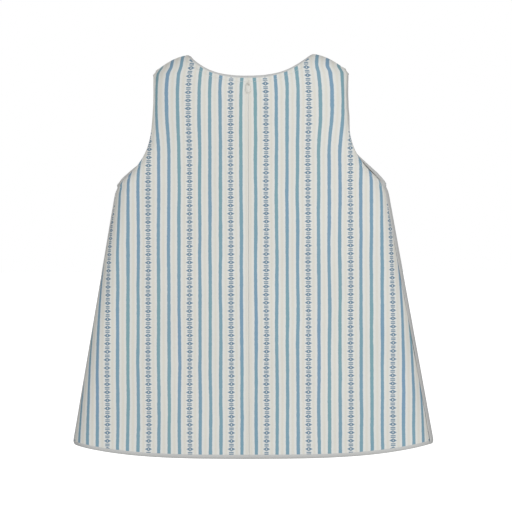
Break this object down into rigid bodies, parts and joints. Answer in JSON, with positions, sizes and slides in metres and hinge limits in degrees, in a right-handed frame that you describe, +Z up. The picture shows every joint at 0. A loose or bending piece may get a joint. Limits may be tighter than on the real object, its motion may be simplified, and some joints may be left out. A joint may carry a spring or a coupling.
{
  "type": "sleeveless pinafore dress",
  "caption": "Small child's sleeveless A-line pinafore in striped cotton, with a faced round neck, faced armholes and a concealed centre-back zip.",
  "frame": {"origin": "the middle of the line between the two high shoulder points, where a hanger carries the dress", "axes": "+Z up, +X along the width towards the wearer's right, +Y from the back of the dress to its front"},
  "size_m": [0.4136, 0.084, 0.4595],
  "materials": {
    "striped_cloth": "cream cotton with woven blue stripes and small blue motifs",
    "facing_cloth": "plain cream cotton",
    "zip_tape": "cream woven tape",
    "zip_coil": "cream nylon coil",
    "zip_metal": "cream enamelled zinc alloy",
    "pull_lacquer": "cream enamelled zinc alloy",
    "hook_wire": "nickel-plated wire",
    "label_cloth": "blank white satin tape"
  },
  "bodies": {
    "dress": {"front_panel": "striped_cloth", "left_back_panel": "striped_cloth", "right_back_panel": "striped_cloth", "front_neck_facing": "facing_cloth", "left_back_neck_facing": "facing_cloth", "right_back_neck_facing": "facing_cloth", "left_back_armhole_facing": "facing_cloth", "right_back_armhole_facing": "facing_cloth", "left_front_armhole_facing": "facing_cloth", "right_front_armhole_facing": "facing_cloth", "left_zip_tape": "zip_tape", "right_zip_tape": "zip_tape", "left_zip_coil": "zip_coil", "right_zip_coil": "zip_coil", "left_zip_top_stop": "zip_metal", "right_zip_top_stop": "zip_metal", "zip_bottom_stop": "zip_metal", "neck_hook": "hook_wire", "neck_eye": "hook_wire", "size_label": "label_cloth", "care_label": "label_cloth"},
    "slider": {"zip_slider": "zip_metal"},
    "pull": {"zip_pull": "pull_lacquer"}
  },
  "joints": [
    {"name": "zip_slide", "type": "slide", "parent": "dress", "child": "slider", "axis": [0, -0.0299, -0.9996], "range_m": [0, 0.185]},
    {"name": "pull_swing", "type": "hinge", "parent": "slider", "child": "pull", "pos_m": [0, -0.03087, -0.03395], "axis": [-1, 0, 0], "range_deg": [0, 150]}
  ]
}
